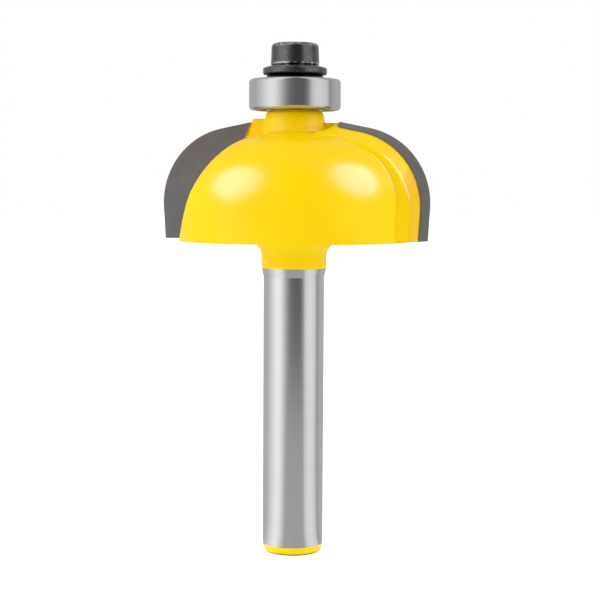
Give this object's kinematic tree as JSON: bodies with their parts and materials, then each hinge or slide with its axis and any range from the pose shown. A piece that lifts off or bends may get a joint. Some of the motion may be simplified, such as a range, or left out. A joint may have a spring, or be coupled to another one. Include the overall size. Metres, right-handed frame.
{
  "type": "cove router bit",
  "caption": "Cove router bit with brazed carbide tips on a domed painted head, a straight shank and a ball-bearing pilot held by a washer and a socket cap screw.",
  "frame": {"origin": "centre of the shank's end face", "axes": "+Z along the axis of rotation from the shank's end to the pilot; the cutting edges lie in the XZ plane, and the bit cuts turning anticlockwise seen from +Z"},
  "size_m": [0.0286, 0.0242, 0.0532],
  "materials": {
    "painted_steel": "gloss yellow paint on the head, bare ground steel on shank and arbor",
    "carbide": "ground grey carbide",
    "bearing_steel": "ground and polished",
    "ball_steel": "polished",
    "black_steel": "black oxide"
  },
  "bodies": {
    "bit": {"bit_body": "painted_steel", "carbide_tip_left": "carbide", "carbide_tip_right": "carbide", "bearing_inner_ring": "bearing_steel", "washer": "black_steel", "cap_screw": "black_steel"},
    "outer_race": {"bearing_outer_ring": "bearing_steel", "bearing_lower_shield": "bearing_steel", "bearing_upper_shield": "bearing_steel", "bearing_lower_wire": "bearing_steel", "bearing_upper_wire": "bearing_steel"},
    "cage": {"bearing_cage": "bearing_steel"},
    "ball_1": {"bearing_ball_1": "ball_steel"},
    "ball_2": {"bearing_ball_2": "ball_steel"},
    "ball_3": {"bearing_ball_3": "ball_steel"},
    "ball_4": {"bearing_ball_4": "ball_steel"},
    "ball_5": {"bearing_ball_5": "ball_steel"},
    "ball_6": {"bearing_ball_6": "ball_steel"},
    "ball_7": {"bearing_ball_7": "ball_steel"},
    "ball_8": {"bearing_ball_8": "ball_steel"}
  },
  "joints": [
    {"name": "outer_race_spin", "type": "hinge", "parent": "bit", "child": "outer_race", "pos_m": [0, 0, 0.04793], "axis": [0, 0, 1], "continuous": true},
    {"name": "cage_spin", "type": "hinge", "parent": "bit", "child": "cage", "pos_m": [0, 0, 0.04793], "axis": [0, 0, 1], "continuous": true},
    {"name": "ball_1_roll", "type": "hinge", "parent": "cage", "child": "ball_1", "pos_m": [0.00357, 0, 0.04793], "axis": [0, 0, 1], "continuous": true},
    {"name": "ball_2_roll", "type": "hinge", "parent": "cage", "child": "ball_2", "pos_m": [0.00253, 0.00253, 0.04793], "axis": [0, 0, 1], "continuous": true},
    {"name": "ball_3_roll", "type": "hinge", "parent": "cage", "child": "ball_3", "pos_m": [0, 0.00357, 0.04793], "axis": [0, 0, 1], "continuous": true},
    {"name": "ball_4_roll", "type": "hinge", "parent": "cage", "child": "ball_4", "pos_m": [-0.00253, 0.00253, 0.04793], "axis": [0, 0, 1], "continuous": true},
    {"name": "ball_5_roll", "type": "hinge", "parent": "cage", "child": "ball_5", "pos_m": [-0.00357, 0, 0.04793], "axis": [0, 0, 1], "continuous": true},
    {"name": "ball_6_roll", "type": "hinge", "parent": "cage", "child": "ball_6", "pos_m": [-0.00253, -0.00253, 0.04793], "axis": [0, 0, 1], "continuous": true},
    {"name": "ball_7_roll", "type": "hinge", "parent": "cage", "child": "ball_7", "pos_m": [0, -0.00357, 0.04793], "axis": [0, 0, 1], "continuous": true},
    {"name": "ball_8_roll", "type": "hinge", "parent": "cage", "child": "ball_8", "pos_m": [0.00253, -0.00253, 0.04793], "axis": [0, 0, 1], "continuous": true}
  ],
  "couplings": [
    {"joint": "cage_spin", "follows": "outer_race_spin", "ratio": 0.61111},
    {"joint": "ball_1_roll", "follows": "outer_race_spin", "ratio": 2.139},
    {"joint": "ball_2_roll", "follows": "outer_race_spin", "ratio": 2.139},
    {"joint": "ball_3_roll", "follows": "outer_race_spin", "ratio": 2.139},
    {"joint": "ball_4_roll", "follows": "outer_race_spin", "ratio": 2.139},
    {"joint": "ball_5_roll", "follows": "outer_race_spin", "ratio": 2.139},
    {"joint": "ball_6_roll", "follows": "outer_race_spin", "ratio": 2.139},
    {"joint": "ball_7_roll", "follows": "outer_race_spin", "ratio": 2.139},
    {"joint": "ball_8_roll", "follows": "outer_race_spin", "ratio": 2.139}
  ]
}
